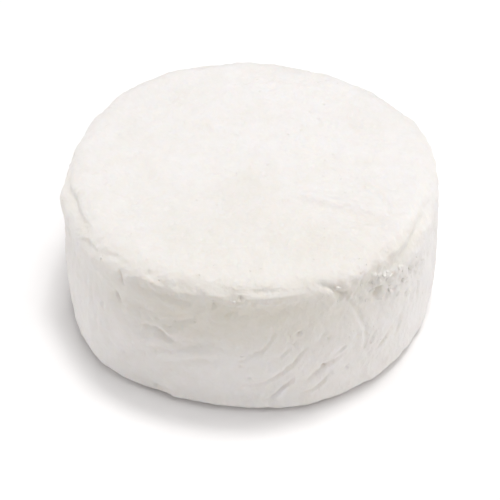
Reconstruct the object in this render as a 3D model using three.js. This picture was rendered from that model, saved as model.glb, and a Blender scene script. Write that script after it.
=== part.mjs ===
// A small soft-ripened cheese wheel with a white bloomy rind. It is one solid that stands on its flat base.
// Millimetres, +Z up, with the origin at the middle of the base. A turn is counted in degrees about +Z
// from +X, so 0 is the right-hand side, 90 the back, 180 the left-hand side and 270 the front.

import * as THREE from "three";
import { ParametricGeometry } from "three/addons/geometries/ParametricGeometry.js";

// Driving dimensions.
const DIAMETER = 110; // over the foot, without swells
const HEIGHT = 48; // at the rim of the top, without waves
const RIM = 7; // rounding between the top and the side
const FOOT = 2; // rounding between the side and the base
const BELLY = 1.0; // how far the side stands out halfway up
const WAIST = 0.7; // how far the side is drawn in under the rim
const WAIST_HEIGHT = 33; // height of the waist's middle
const WAIST_REACH = 6; // how far it reaches up and down
const DISH = 0.5; // how far the middle of the top has sunk
const DISH_REACH = 33; // radius of the sunk middle

// Facets: round the wheel, and along each span of its profile.
const COLUMNS = 112;
const ROWS = { base: 3, foot: 4, side: 14, rim: 8, top: 12 };

// Slow waves of the outline, as the soft curd left its mould: how many waves go round, where one peaks,
// and how far it stands out.
const OUTLINE_WAVES = [
  { waves: 4, peak: 33, out: 0.45 },
  { waves: 3, peak: 108, out: 0.25 },
  { waves: 7, peak: 12, out: 0.12 },
];

// Swells and hollows of the side: the middle's turn and height, the reach round the side and up it, and
// how far it stands out.
const SWELLS = [
  { name: "back hollow", turn: 103, height: 42, round: 8, up: 16, out: -0.5 },
  { name: "back-left shoulder", turn: 126, height: 40, round: 13, up: 22, out: 0.9 },
  { name: "left flat", turn: 165, height: 40, round: 12, up: 26, out: -0.6 },
  { name: "left lip", turn: 187, height: 40, round: 6, up: 6, out: 1.4 },
  { name: "left foot", turn: 196, height: 2, round: 6, up: 7, out: -0.4 },
  { name: "left fold", turn: 200, height: 30, round: 7, up: 14, out: -0.5 },
  { name: "front-left rim", turn: 232, height: 42, round: 9, up: 6, out: 0.7 },
  { name: "front-left foot", turn: 221, height: 6, round: 12, up: 14, out: 0.8 },
  { name: "front-left notch", turn: 239, height: 2, round: 4, up: 6, out: -0.8 },
  { name: "front-left belly", turn: 250, height: 22, round: 13, up: 9, out: 0.5 },
  { name: "front hollow", turn: 262, height: 3, round: 10, up: 9, out: -0.8 },
  { name: "front foot", turn: 287, height: 4, round: 8, up: 12, out: 0.6 },
  { name: "front-right shelf", turn: 309, height: 38, round: 11, up: 6, out: -0.7 },
  { name: "right-hand flat", turn: 334, height: 12, round: 14, up: 14, out: -0.8 },
  { name: "right lip", turn: 357, height: 31, round: 7, up: 5, out: 0.5 },
  { name: "right foot", turn: 354, height: 10, round: 6, up: 7, out: 0.5 },
];

// Waves of the rim's rounding and of the foot's: the middle's turn, the reach round it, and how much
// rounder the edge is there.
const RIM_CHANGES = [
  { turn: 207, round: 24, by: 3 },
  { turn: 267, round: 26, by: -1.5 },
  { turn: 313, round: 18, by: -3 },
  { turn: 60, round: 22, by: 0.8 },
];
const FOOT_CHANGES = [
  { turn: 247, round: 7, by: 1.5 },
  { turn: 286, round: 5, by: 1.2 },
  { turn: 20, round: 20, by: 1 },
  { turn: 150, round: 12, by: 1.5 },
];

// Swells and hollows of the top: the place, the reach and the rise.
const TOP_WAVES = [
  { name: "left hollow", x: -30, y: -22, reach: 16, rise: -0.9 },
  { name: "front-right lip", x: 34, y: -24, reach: 9, rise: 0.7 },
  { name: "right hollow", x: 38, y: 2, reach: 12, rise: -0.6 },
  { name: "back swell", x: -12, y: 26, reach: 18, rise: 0.5 },
  { name: "front swell", x: -4, y: -38, reach: 12, rise: 0.5 },
];

const RADIUS = DIAMETER / 2;
const QUARTER = Math.PI / 2;
const ALL_ROWS = Object.values(ROWS).reduce((sum, rows) => sum + rows, 0);

// How fast swells fade towards the middle of the top and base, and the top's waves down the side.
const SWELL_FADE = 2;
const WAVE_FADE = 6;

// A bell curve: 1 in the middle, and near 0 beyond twice its reach.
function bell(distance, reach) {
  return Math.exp(-((distance / reach) ** 2));
}

// The shorter way round from one turn to another, in degrees.
function turnBetween(a, b) {
  return ((((a - b) % 360) + 540) % 360) - 180;
}

// An edge's rounding at a turn.
function roundingAt(turn, plain, changes) {
  return changes.reduce((sum, c) => sum + c.by * bell(turnBetween(turn, c.turn), c.round), plain);
}

// How far the side stands out of a plain cylinder at a turn and height.
function standOut(turn, height) {
  const waves = OUTLINE_WAVES.reduce(
    (sum, w) => sum + w.out * Math.cos(w.waves * THREE.MathUtils.degToRad(turn - w.peak)),
    0,
  );
  const swells = SWELLS.reduce(
    (sum, s) => sum + s.out * bell(turnBetween(turn, s.turn), s.round) * bell(height - s.height, s.up),
    0,
  );
  const belly = BELLY * Math.sin((Math.PI * height) / HEIGHT);
  return waves + swells + belly - WAIST * bell(height - WAIST_HEIGHT, WAIST_REACH);
}

// How far the top rises or sinks at a place.
function riseOfTop(x, y) {
  const waves = TOP_WAVES.reduce((sum, w) => sum + w.rise * bell(Math.hypot(x - w.x, y - w.y), w.reach), 0);
  return waves - DISH * bell(Math.hypot(x, y), DISH_REACH);
}

// A point of a round arc in the profile.
function onArc(centreRadius, centreHeight, radius, angle) {
  return [centreRadius + radius * Math.cos(angle), centreHeight + radius * Math.sin(angle)];
}

// The profile's spans in order from the middle of the base, round the side, to the middle of the top. Each
// gives [radius, height] at a share of its way.
function profileSpans(rim, foot) {
  const wall = HEIGHT - rim - foot;
  return [
    { rows: ROWS.base, at: (share) => [(RADIUS - foot) * share, 0] },
    { rows: ROWS.foot, at: (share) => onArc(RADIUS - foot, foot, foot, (share - 1) * QUARTER) },
    { rows: ROWS.side, at: (share) => [RADIUS, foot + wall * share] },
    { rows: ROWS.rim, at: (share) => onArc(RADIUS - rim, HEIGHT - rim, rim, share * QUARTER) },
    { rows: ROWS.top, at: (share) => [(RADIUS - rim) * (1 - share), HEIGHT] },
  ];
}

// The profile's [radius, height] at a row, for these roundings.
function profileAt(row, rim, foot) {
  let first = 0;
  for (const span of profileSpans(rim, foot)) {
    if (row <= first + span.rows) return span.at((row - first) / span.rows);
    first += span.rows;
  }
  return [0, HEIGHT];
}

// The point of the rind at u round the wheel and v along the profile, each from 0 to 1.
function rindPoint(u, v, target) {
  const turn = (u % 1) * 360;
  const angle = THREE.MathUtils.degToRad(turn);
  const rim = roundingAt(turn, RIM, RIM_CHANGES);
  const foot = roundingAt(turn, FOOT, FOOT_CHANGES);
  const [radius, height] = profileAt(v * ALL_ROWS, rim, foot);
  const reach = radius + standOut(turn, height) * (radius / RADIUS) ** SWELL_FADE;
  const x = reach * Math.cos(angle);
  const y = reach * Math.sin(angle);
  target.set(x, y, height + riseOfTop(x, y) * (height / HEIGHT) ** WAVE_FADE);
}

// The whole wheel, moved so that the middle of its outline stands on the origin.
function wheelGeometry() {
  const geometry = new ParametricGeometry(rindPoint, COLUMNS, ALL_ROWS);
  geometry.computeBoundingBox();
  const middle = geometry.boundingBox.getCenter(new THREE.Vector3());
  return geometry.translate(-middle.x, -middle.y, 0);
}

const rind = new THREE.MeshStandardMaterial({ color: 0xf2eee8, roughness: 0.85, metalness: 0 });

const cheese = new THREE.Group();
const wheel = new THREE.Mesh(wheelGeometry(), rind);
wheel.name = "cheese_wheel";
cheese.add(wheel);

export default cheese;
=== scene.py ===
"""A small soft-ripened cheese wheel with a white bloomy rind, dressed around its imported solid.

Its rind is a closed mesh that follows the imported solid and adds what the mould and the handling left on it:
slow lumps, pits, creases of the wrapping cloth, an uneven rim and a torn patch. Small flakes and crumbs lie
on it.

Lengths are metres and angles are radians, unless a name ends in _mm or a comment says degrees. A turn is
counted about +Z from +X, so 0 is the right-hand side, 90 the back, 180 the left-hand side and 270 the front.
"""

from __future__ import annotations

import logging
import math
import sys
from collections.abc import Callable, Mapping, Sequence
from dataclasses import dataclass, field
from enum import Enum
from functools import reduce

import bpy
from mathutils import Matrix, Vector


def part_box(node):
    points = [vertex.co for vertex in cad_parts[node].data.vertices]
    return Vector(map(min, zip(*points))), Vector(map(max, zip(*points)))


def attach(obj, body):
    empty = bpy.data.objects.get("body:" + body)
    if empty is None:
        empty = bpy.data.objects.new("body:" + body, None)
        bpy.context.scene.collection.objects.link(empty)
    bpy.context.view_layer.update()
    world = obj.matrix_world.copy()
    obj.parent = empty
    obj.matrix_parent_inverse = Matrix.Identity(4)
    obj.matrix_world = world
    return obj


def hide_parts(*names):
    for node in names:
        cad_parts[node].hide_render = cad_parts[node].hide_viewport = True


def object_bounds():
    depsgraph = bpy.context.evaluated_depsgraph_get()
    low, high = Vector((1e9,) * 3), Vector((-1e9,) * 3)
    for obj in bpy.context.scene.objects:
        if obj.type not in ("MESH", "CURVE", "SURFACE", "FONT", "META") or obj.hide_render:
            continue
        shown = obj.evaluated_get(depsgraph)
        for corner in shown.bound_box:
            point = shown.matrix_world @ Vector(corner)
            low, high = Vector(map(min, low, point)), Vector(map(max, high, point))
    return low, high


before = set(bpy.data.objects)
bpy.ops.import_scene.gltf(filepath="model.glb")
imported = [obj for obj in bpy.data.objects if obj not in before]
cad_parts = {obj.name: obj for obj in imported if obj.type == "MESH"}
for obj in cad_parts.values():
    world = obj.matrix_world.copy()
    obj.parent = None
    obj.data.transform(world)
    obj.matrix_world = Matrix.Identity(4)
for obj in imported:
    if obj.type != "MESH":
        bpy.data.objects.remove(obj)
CAD_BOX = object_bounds()

MM = 0.001
CM = 0.01
DEGREE = math.pi / 180
QUARTER_TURN = math.pi / 2
BODY = "root"
WHEEL_NODE = "cheese_wheel"
LOG = logging.getLogger("cheese")


# ---- Fields: node sums written as plain arithmetic ----


def arithmetic(operation: str, swapped: bool = False) -> Callable[[Field, Value], Field]:
    """An operator method for fields.

    Args:
        operation: the node's operation.
        swapped: whether the field stands on the right of the sign.

    Returns:
        The method.
    """

    def method(this: Field, other: Value) -> Field:
        """One step of arithmetic."""
        pair = (other, this) if swapped else (this, other)
        return this.bench.sum_of(operation, *pair)

    return method


class Field:
    """An output socket that can stand in sums, so that a formula reads as one."""

    def __init__(self, bench: Bench, socket: bpy.types.NodeSocket) -> None:
        """Keeps the socket and the bench whose tree it belongs to."""
        self.bench = bench
        self.socket = socket

    @property
    def is_vector(self) -> bool:
        """Whether the socket holds three numbers."""
        return self.socket.type in {"VECTOR", "RGBA"}

    __add__ = arithmetic("ADD")
    __radd__ = arithmetic("ADD", swapped=True)
    __sub__ = arithmetic("SUBTRACT")
    __rsub__ = arithmetic("SUBTRACT", swapped=True)
    __mul__ = arithmetic("MULTIPLY")
    __truediv__ = arithmetic("DIVIDE")

    def __neg__(self) -> Field:
        """The opposite."""
        return self * -1.0


Value = Field | float | Sequence[float]
Inputs = Mapping[str, object]


@dataclass
class Bench:
    """A node tree under construction, geometry or shader, with short ways to write its formulas.

    Attributes:
        tree: the tree that the nodes are added to.
    """

    tree: bpy.types.NodeTree

    def node(self, kind: str, inputs: Inputs | None = None, **settings: object) -> bpy.types.Node:
        """Adds a node.

        Args:
            kind: the node's type name.
            inputs: what goes into its sockets, by socket name: fields, or plain values.
            settings: its properties.

        Returns:
            The node.
        """
        made = self.tree.nodes.new(kind)
        for name, value in settings.items():
            setattr(made, name, value)
        for name, value in (inputs or {}).items():
            self.put(self.in_use(made.inputs, name), value)
        return made

    def result(
        self, kind: str, inputs: Inputs | None = None, output: str | None = None, **settings: object
    ) -> Field:
        """Adds a node and returns one of its outputs, by name, or its first."""
        return self.out(self.node(kind, inputs, **settings), output)

    def in_use(self, sockets: Sequence[bpy.types.NodeSocket], name: str | None) -> bpy.types.NodeSocket:
        """The socket in use that has this name, or the first one."""
        return next(s for s in sockets if name in (None, s.name) and s.enabled and not s.is_unavailable)

    def out(self, node: bpy.types.Node, name: str | None = None) -> Field:
        """A node's output in use, by name, or its first."""
        return Field(self, self.in_use(node.outputs, name))

    def put(self, socket: bpy.types.NodeSocket, value: object) -> None:
        """Links a field into a socket, or sets a plain value on it."""
        if isinstance(value, Field):
            self.tree.links.new(value.socket, socket)
        else:
            socket.default_value = value

    def group_end(self, way: str) -> bpy.types.Node:
        """The node at which the tree's own inputs come in or its outputs go out, for Input or Output."""
        return next(n for n in self.tree.nodes if n.bl_idname == "NodeGroup" + way)

    def math(self, operation: str, *values: Value) -> Field:
        """A Math node's result for these values."""
        made = self.node("ShaderNodeMath", operation=operation)
        for socket, value in zip(made.inputs, values):
            self.put(socket, value)
        return self.out(made)

    def vector(
        self, operation: str, *values: Value, scale: Value | None = None, output: str = "Vector"
    ) -> Field:
        """A Vector Math node's result for these values, where a number stands for three like it."""
        made = self.node("ShaderNodeVectorMath", operation=operation)
        for socket, value in zip(made.inputs, values):
            self.put(socket, (value,) * 3 if isinstance(value, (float, int)) else value)
        if scale is not None:
            self.put(made.inputs["Scale"], scale)
        return self.out(made, output)

    def sum_of(self, operation: str, a: Value, b: Value) -> Field:
        """One step of arithmetic, on numbers or on vectors as the values are."""
        vectors = [isinstance(v, Field) and v.is_vector for v in (a, b)]
        if operation == "MULTIPLY" and vectors[0] != vectors[1]:
            of, by = (a, b) if vectors[0] else (b, a)
            return self.vector("SCALE", of, scale=by)
        return self.vector(operation, a, b) if any(vectors) else self.math(operation, a, b)

    def parts(self, vector: Field) -> tuple[Field, Field, Field]:
        """A vector's three numbers."""
        made = self.node("ShaderNodeSeparateXYZ", {"Vector": vector})
        return self.out(made, "X"), self.out(made, "Y"), self.out(made, "Z")

    def joined(self, x: Value, y: Value, z: Value) -> Field:
        """A vector of three numbers."""
        return self.result("ShaderNodeCombineXYZ", {"X": x, "Y": y, "Z": z})

    def bell(self, distance: Field, reach: Value) -> Field:
        """1 where the distance is 0, and near 0 beyond twice the reach."""
        share = distance / reach
        return self.math("EXPONENT", -(share * share))

    def step(self, value: Field, low: Value, high: Value) -> Field:
        """0 below low, 1 above high, and smooth between them."""
        limits = {"From Min": low, "From Max": high}
        return self.result("ShaderNodeMapRange", {"Value": value, **limits}, interpolation_type="SMOOTHSTEP")

    def clamped(self, value: Field, low: Value = 0.0, high: Value = 1.0) -> Field:
        """The value kept between two limits."""
        return self.math("MINIMUM", self.math("MAXIMUM", value, low), high)

    def noise(self, at: Field, size_mm: float, seed: float, detail: float = 1.0, rough: float = 0.5) -> Field:
        """Smooth noise between about -1 and 1 whose lumps have this size."""
        shape = {"Vector": at, "W": seed, "Scale": 1 / (size_mm * MM), "Detail": detail, "Roughness": rough}
        return self.result("ShaderNodeTexNoise", shape, noise_dimensions="4D") * 2.0 - 1.0

    def noises(self, at: Field, size_mm: float, seed: float) -> Field:
        """Three noises of their own as a vector."""
        return self.joined(*(self.noise(at, size_mm, seed + number) for number in range(3)))

    def cells(self, at: Field, size_mm: float, seed: float) -> tuple[Field, Field]:
        """Scattered points of one per cell of this size.

        Args:
            at: the place asked about.
            size_mm: the cells' size.
            seed: picks another scatter.

        Returns:
            The distance to the nearest point in metres, and that point's three chance numbers as a vector.
        """
        shape = {"Vector": at, "W": seed, "Scale": 1 / (size_mm * MM)}
        made = self.node("ShaderNodeTexVoronoi", shape, voronoi_dimensions="4D")
        return self.out(made, "Distance") * (size_mm * MM), self.out(made, "Color")

    def mix(self, share: Value, first: Value, second: Value) -> Field:
        """A blend of two colours."""
        return self.result("ShaderNodeMix", {"Factor": share, "A": first, "B": second}, data_type="RGBA")


@dataclass(frozen=True)
class Layer:
    """A layer of smooth lumps.

    Attributes:
        size_mm: how wide they are.
        high_mm: how high they are.
        seed: picks other lumps.
        detail: how many finer layers are laid on them.
        rough: how strong the finer layers are.
    """

    size_mm: float
    high_mm: float
    seed: float
    detail: float = 1.0
    rough: float = 0.5

    def rise(self, bench: Bench, at: Field) -> Field:
        """Its height at a place."""
        return bench.noise(at, self.size_mm, self.seed, self.detail, self.rough) * (self.high_mm * MM)


@dataclass
class GeometryTree(Bench):
    """A Geometry Nodes tree with named inputs.

    Attributes:
        values: the inputs' values for the modifier, by name.
    """

    values: dict[str, object] = field(default_factory=dict)

    @classmethod
    def named(cls, name: str) -> GeometryTree:
        """An empty tree that puts out one geometry."""
        tree = bpy.data.node_groups.new(name, "GeometryNodeTree")
        tree.interface.new_socket("Geometry", in_out="OUTPUT", socket_type="NodeSocketGeometry")
        tree.nodes.new("NodeGroupInput")
        tree.nodes.new("NodeGroupOutput")
        return cls(tree)

    def asks(self, name: str, kind: str, value: object) -> Field:
        """Adds a named input.

        Args:
            name: the input's name.
            kind: Float, Int, Object or Material.
            value: what the modifier passes to it.

        Returns:
            The input as a field.
        """
        self.tree.interface.new_socket(name, in_out="INPUT", socket_type="NodeSocket" + kind)
        self.values[name] = value
        return Field(self, self.group_end("Input").outputs[name])

    def mesh_of(self, name: str, thing: bpy.types.Object) -> Field:
        """The mesh of an object that becomes a named input."""
        return self.result("GeometryNodeObjectInfo", {"Object": self.asks(name, "Object", thing)}, "Geometry")

    def position(self) -> Field:
        """Where a point is."""
        return self.result("GeometryNodeInputPosition")

    def polar(self) -> tuple[Field, Field, Field]:
        """A point's turn, its distance from the wheel's axis and its height."""
        x, y, level = self.parts(self.position())
        return self.math("ARCTAN2", y, x), self.math("SQRT", x * x + y * y), level

    def stored(self, name: str, kind: str = "FLOAT") -> Field:
        """A value stored on the geometry."""
        return self.result("GeometryNodeInputNamedAttribute", {"Name": name}, data_type=kind)

    def store(self, geometry: Field, name: str, value: Value, kind: str = "FLOAT") -> Field:
        """The geometry with a value stored on its points."""
        inputs = {"Geometry": geometry, "Name": name, "Value": value}
        return self.result("GeometryNodeStoreNamedAttribute", inputs, data_type=kind, domain="POINT")

    def moved(self, geometry: Field, **where: Value) -> Field:
        """The geometry with its points put at a position=, or shifted by an offset=."""
        inputs = {name.capitalize(): value for name, value in where.items()}
        return self.result("GeometryNodeSetPosition", {"Geometry": geometry, **inputs})

    def chance(self, seed: int, low: Value, high: Value) -> Field:
        """A random number, or a random vector between two corners."""
        kind = "FLOAT_VECTOR" if isinstance(low, tuple) else "FLOAT"
        return self.result("FunctionNodeRandomValue", {"Min": low, "Max": high, "Seed": seed}, data_type=kind)

    def grow(self, name: str, geometry: Field, finish: bpy.types.Material) -> bpy.types.Object:
        """Ends the tree, runs it once and leaves the result as a plain mesh.

        Args:
            name: the piece's name.
            geometry: what the tree makes.
            finish: the material it sets on it.

        Returns:
            The piece, in the scene, with no modifier.
        """
        material = self.asks("Finish", "Material", finish)
        real = self.result("GeometryNodeRealizeInstances", {"Geometry": geometry})
        smooth = self.result("GeometryNodeSetShadeSmooth", {"Geometry": real})
        dressed = self.result("GeometryNodeSetMaterial", {"Geometry": smooth, "Material": material})
        self.put(self.group_end("Output").inputs["Geometry"], dressed)

        piece = new_object(name, bpy.data.meshes.new(name))
        modifier = piece.modifiers.new("making", "NODES")
        modifier.node_group = self.tree
        for item in self.tree.interface.items_tree:
            if item.in_out == "INPUT":
                modifier[item.identifier] = self.values[item.name]
        shown = bpy.context.evaluated_depsgraph_get()
        plain = bpy.data.meshes.new_from_object(piece.evaluated_get(shown), depsgraph=shown)
        piece.modifiers.remove(modifier)
        piece.data = plain
        plain.name = name
        return piece


def new_object(name: str, data: bpy.types.ID) -> bpy.types.Object:
    """An object in the scene that holds this data."""
    made = bpy.data.objects.new(name, data)
    bpy.context.scene.collection.objects.link(made)
    return made


# ---- Finishes ----

Colour = tuple[float, float, float, float]


def shader_group(
    name: str, inputs: dict[str, float], outputs: Sequence[str]
) -> tuple[Bench, dict[str, Field]]:
    """Starts a shader node group.

    Args:
        name: the group's name.
        inputs: its number inputs and their usual values.
        outputs: its number outputs.

    Returns:
        A bench on its tree, and its inputs as fields.
    """
    tree = bpy.data.node_groups.new(name, "ShaderNodeTree")
    for label, value in inputs.items():
        tree.interface.new_socket(label, in_out="INPUT", socket_type="NodeSocketFloat").default_value = value
    for label in outputs:
        tree.interface.new_socket(label, in_out="OUTPUT", socket_type="NodeSocketFloat")
    source = tree.nodes.new("NodeGroupInput")
    tree.nodes.new("NodeGroupOutput")
    bench = Bench(tree)
    return bench, {label: Field(bench, source.outputs[label]) for label in inputs}


def close_group(bench: Bench, results: dict[str, Field]) -> bpy.types.NodeTree:
    """Links a group's results to its outputs and returns its tree."""
    for label, result in results.items():
        bench.put(bench.group_end("Output").inputs[label], result)
    return bench.tree


def object_place(bench: Bench) -> Field:
    """Object coordinates."""
    return bench.result("ShaderNodeTexCoord", output="Object")


@dataclass(frozen=True)
class BloomGrain:
    """The felt of the mould as a height: fine nap, small grains and pinholes.

    Attributes:
        nap: the nap.
        grains: the grains.
        cell_mm: there is room for one pinhole in every so many millimetres.
        cluster_mm: size of the clusters that the pinholes stand in.
        hole_floor_mm: radius of a pinhole's flat floor.
        hole_mm: radius of the smallest pinhole. The largest has twice that.
        hole_deep_mm: depth of a pinhole.
    """

    nap: Layer = Layer(0.35, 0.012, seed=1.0, detail=2.0)
    grains: Layer = Layer(1.1, 0.145, seed=2.0, detail=2.0, rough=0.55)
    cell_mm: float = 1.4
    cluster_mm: float = 6.0
    hole_floor_mm: float = 0.1
    hole_mm: float = 0.3
    hole_deep_mm: float = 0.17

    def group(self) -> bpy.types.NodeTree:
        """The shader group that works the height out, in metres."""
        bench, given = shader_group("bloom grain", {"Grains": 1.0, "Pinholes": 1.0}, ("Height", "Pinhole"))
        at = object_place(bench)
        distance, chance = bench.cells(at, self.cell_mm, seed=3.0)
        pick, size, _ = bench.parts(chance)
        cluster = bench.step(bench.noise(at, self.cluster_mm, seed=4.0, detail=2.0), low=0.08, high=0.26)
        crowding, rarity = 0.7, 0.99
        there = bench.step(pick + cluster * crowding, rarity, 1.0)
        edge = (size + 1.0) * (self.hole_mm * MM)
        hole = there * (1.0 - bench.step(distance, self.hole_floor_mm * MM, edge))
        height = self.nap.rise(bench, at) + self.grains.rise(bench, at) * given["Grains"]
        height = height - hole * given["Pinholes"] * (self.hole_deep_mm * MM)
        return close_group(bench, {"Height": height, "Pinhole": hole})


@dataclass(frozen=True)
class BloomMottle:
    """How thick the white mould lies: slow patches with a finer, dusty breakup.

    Attributes:
        usual: the usual thickness, where 1 hides the curd.
        spread: how far patches and blots change it.
    """

    usual: float = 0.8
    spread: float = 0.25

    def group(self) -> bpy.types.NodeTree:
        """The shader group that works the thickness out, from 0 thin to 1 thick."""
        bench, _ = shader_group("bloom mottle", {}, ("Thickness", "Dust"))
        at = object_place(bench)
        patches = bench.noise(at, size_mm=16.0, seed=5.0, detail=3.0, rough=0.55)
        blots = bench.noise(at, size_mm=4.0, seed=6.0, detail=3.0, rough=0.6)
        dust = bench.noise(at, size_mm=0.8, seed=7.0, detail=2.0, rough=0.6)
        thickness = bench.clamped((patches + blots) * self.spread + self.usual)
        return close_group(bench, {"Thickness": thickness, "Dust": bench.clamped(dust * 0.5 + 0.5)})


@dataclass(frozen=True)
class MouldFinish:
    """A soft white mould surface over cream-coloured curd.

    Attributes:
        name: the material's name.
        bloom: colour where the mould lies thick.
        curd: colour where the mould lies thinner and the curd shows; it is also the colour of the painted
            shade in hollows and under the front rim.
        thin_and_shade_at: attribute of the piece that says where the mould lies thinner and where shade is
            painted in curd colour, or none.
        speckle: how much curd the pinholes and the dust let through.
        roughness: how matt the curd is where no mould covers it.
        bloom_matt: how much matter the mould makes it.
        subsurface: share of the light that goes in and comes out again.
        sheen: glow of the nap at a low angle.
        grains: strength of the small grains.
        pinholes: strength of the pinholes.
    """

    name: str
    bloom: Colour = (0.832, 0.806, 0.8, 1.0)
    # Also the colour of the painted shade in hollows and under the front rim.
    curd: Colour = (0.72, 0.68, 0.605, 1.0)
    thin_and_shade_at: str | None = None
    speckle: float = 0.12
    roughness: float = 0.68
    bloom_matt: float = 0.14
    subsurface: float = 0.2
    sheen: float = 0.22
    grains: float = 1.0
    pinholes: float = 1.0

    def material(self, groups: dict[str, bpy.types.NodeTree]) -> bpy.types.Material:
        """Builds the material.

        Args:
            groups: the shader groups it is made from, by name.

        Returns:
            The material.
        """
        made = bpy.data.materials.new(self.name)
        made.use_nodes = True
        bench = Bench(made.node_tree)
        shader = made.node_tree.nodes["Principled BSDF"]

        mottle = bench.node("ShaderNodeGroup", node_tree=groups["mottle"])
        grain = bench.node("ShaderNodeGroup", node_tree=groups["grain"])
        grain.inputs["Grains"].default_value = self.grains
        grain.inputs["Pinholes"].default_value = self.pinholes
        thickness = bench.out(mottle, "Thickness")
        # The stored share turns the cover towards curd colour: thinner bloom, and painted shade in hollows
        # and under the front rim.
        if self.thin_and_shade_at:
            thin_and_shade = bench.result("ShaderNodeAttribute", output="Fac", attribute_name=self.thin_and_shade_at)
            thickness = bench.clamped(thickness - thin_and_shade)
        dust = bench.out(mottle, "Dust") - 0.5
        cover = bench.clamped(thickness + (dust - bench.out(grain, "Pinhole")) * self.speckle)
        height = bench.out(grain, "Height")
        sockets = {
            "Base Color": bench.mix(cover, self.curd, self.bloom),
            "Roughness": cover * self.bloom_matt + dust * 0.06 + self.roughness,
            "Normal": bench.result("ShaderNodeBump", {"Height": height, "Strength": 1.0, "Distance": 1.0}),
            "Subsurface Weight": self.subsurface,
            "Subsurface Radius": (1.0, 0.62, 0.36),
            "Subsurface Scale": 2.5 * MM,
            "Sheen Weight": self.sheen,
            "Sheen Roughness": 0.5,
            "Specular IOR Level": 0.25,
        }
        for label, value in sockets.items():
            bench.put(shader.inputs[label], value)
        return made


# ---- Marks and areas of the rind ----

# How a mark thins out: the blunt part of its ends as a share of its length, and the fullness of the rest.
BLUNT_END = 0.02
END_FULLNESS = 0.6
LINE_STEP_MM = 0.4
SPOT_LENGTH_MM = 0.1


class Where(Enum):
    """The face of the wheel that a mark lies on, which says how its points are given."""

    SIDE = "turn in degrees and height in mm"
    TOP = "x and y in mm"


@dataclass(frozen=True)
class Mark:
    """A line or a spot pressed, folded or raised in the rind, thinning out to both ends.

    Attributes:
        points: a few places along it, as its face gives them, or one place for a spot.
        depth_mm: how deep it is in the middle. A negative depth raises a ridge.
        width_mm: half its width.
        fold: 0 for a plain furrow, towards 1 for a fold with one raised lip, below 0 for the other lip.
        where: the face it lies on.
    """

    points: tuple[tuple[float, float], ...]
    depth_mm: float
    width_mm: float
    fold: float = 0.0
    where: Where = Where.SIDE

    def depth_at(self, share: float) -> float:
        """Its depth at a share of its length, where a spot has its full depth."""
        if len(self.points) == 1:
            return self.depth_mm * MM
        inner = min(max(share, BLUNT_END), 1 - BLUNT_END)
        return self.depth_mm * MM * math.sin(math.pi * inner) ** END_FULLNESS


@dataclass(frozen=True)
class Spot:
    """A soft-edged area of the side.

    Attributes:
        turn: its middle's turn in degrees.
        height_mm: its middle's height.
        round_by: its reach round the side in degrees.
        up_mm: its reach up the side.
        lean_mm: how far it climbs for each degree of turn.
    """

    turn: float
    height_mm: float
    round_by: float
    up_mm: float
    lean_mm: float = 0.0

    def share(self, tree: GeometryTree, turn: Field, level: Field) -> Field:
        """1 in its middle, fading to 0 round it."""
        round_off = tree.math("WRAP", turn - self.turn * DEGREE, math.pi, -math.pi)
        up_off = level - round_off * (self.lean_mm * MM / DEGREE) - self.height_mm * MM
        return tree.bell(round_off, self.round_by * DEGREE) * tree.bell(up_off, self.up_mm * MM)


def most_of(spots: Sequence[Spot], tree: GeometryTree, turn: Field, level: Field) -> Field:
    """The largest of several spots' shares."""
    shares = [spot.share(tree, turn, level) for spot in spots]
    return reduce(lambda first, second: tree.math("MAXIMUM", first, second), shares)


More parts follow.
